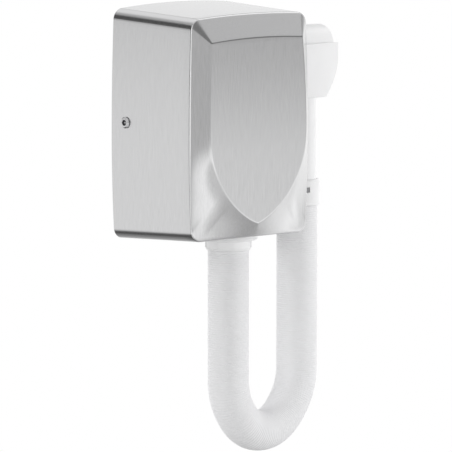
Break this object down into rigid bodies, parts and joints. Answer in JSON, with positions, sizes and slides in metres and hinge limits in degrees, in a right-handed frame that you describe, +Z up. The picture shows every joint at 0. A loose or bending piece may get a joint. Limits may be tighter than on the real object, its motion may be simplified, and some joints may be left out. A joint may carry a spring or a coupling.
{
  "type": "wall-mounted hose hair dryer with holder",
  "caption": "Wall-mounted hose hair dryer: a steel housing with a fan and heater, a hanging corrugated hose, and a hand piece that rests in a holder on the housing's side.",
  "frame": {"origin": "on the wall, at the middle of the housing's back", "axes": "+Z up, +Y into the wall, +X to the right as seen from in front, where the holder is"},
  "size_m": [0.25, 0.132, 0.4825],
  "materials": {
    "cover_steel": "vertical brushed stainless steel",
    "plate_steel": "zinc-plated sheet",
    "screw_steel": "turned steel",
    "motor_steel": "drawn steel",
    "heater_steel": "heat-tinted sheet",
    "heating_wire": "nickel-chrome wire",
    "bush_bronze": "sintered bronze",
    "magnet": "ferrite",
    "mica": "laminated mica",
    "board": "coated circuit board",
    "fan_plastic": "moulded heat-resistant plastic",
    "terminal_plastic": "moulded",
    "rubber": "moulded rubber",
    "white_plastic": "satin white moulded plastic",
    "hose_plastic": "white corrugated hose",
    "latch_grey": "dark grey moulded plastic"
  },
  "bodies": {
    "housing": {"front_cover": "cover_steel", "wall_plate": "plate_steel", "lock_screw_left": "screw_steel", "lock_screw_right": "screw_steel", "scroll_back": "fan_plastic", "scroll_front": "fan_plastic", "motor_can": "motor_steel", "motor_bushes": "bush_bronze", "stator_magnets": "magnet", "motor_screws": "screw_steel", "heater_duct": "heater_steel", "heater_coil": "heating_wire", "mica_frame": "mica", "thermal_cutout": "fan_plastic", "control_board": "board", "board_standoffs": "fan_plastic", "relay": "fan_plastic", "capacitor": "motor_steel", "cable_grommet": "rubber", "wire_clamp": "fan_plastic", "terminal_block": "terminal_plastic", "hose_flange": "white_plastic", "flange_screws": "screw_steel", "outlet_gasket": "rubber", "lower_hose_cuff": "white_plastic", "hose": "hose_plastic", "cradle": "white_plastic", "cradle_screws": "screw_steel", "reed_switch": "fan_plastic"},
    "fan_rotor": {"rotor": "motor_steel", "motor_shaft": "motor_steel", "impeller": "fan_plastic"},
    "bayonet": {"bayonet_ring": "white_plastic"},
    "hand_piece": {"upper_hose_cuff": "white_plastic", "handle_tube": "white_plastic", "head_shell": "white_plastic", "head_end_cap": "white_plastic", "holder_magnet": "magnet", "outlet_grille": "latch_grey"},
    "hose_swivel": {"swivel_collar": "white_plastic"},
    "latch": {"latch_button": "latch_grey"}
  },
  "joints": [
    {"name": "hand_piece_takeoff", "type": "slide", "parent": "housing", "child": "hand_piece", "axis": [1, 0, 0], "range_m": [0, 0.07]},
    {"name": "hose_swivel_turn", "type": "hinge", "parent": "hand_piece", "child": "hose_swivel", "pos_m": [0.121, -0.064, -0.0825], "axis": [0, 0, 1], "continuous": true},
    {"name": "latch_press", "type": "slide", "parent": "hose_swivel", "child": "latch", "axis": [0.2974, 0.9548, 0], "range_m": [0, 0.0015], "stiffness_N_per_m": 400},
    {"name": "bayonet_twist", "type": "hinge", "parent": "housing", "child": "bayonet", "pos_m": [0.0198, -0.064, -0.132], "axis": [0, 0, 1], "range_deg": [0, 30]},
    {"name": "fan_spin", "type": "hinge", "parent": "housing", "child": "fan_rotor", "pos_m": [-0.0102, -0.044, 0.035], "axis": [0, 1, 0], "continuous": true}
  ]
}
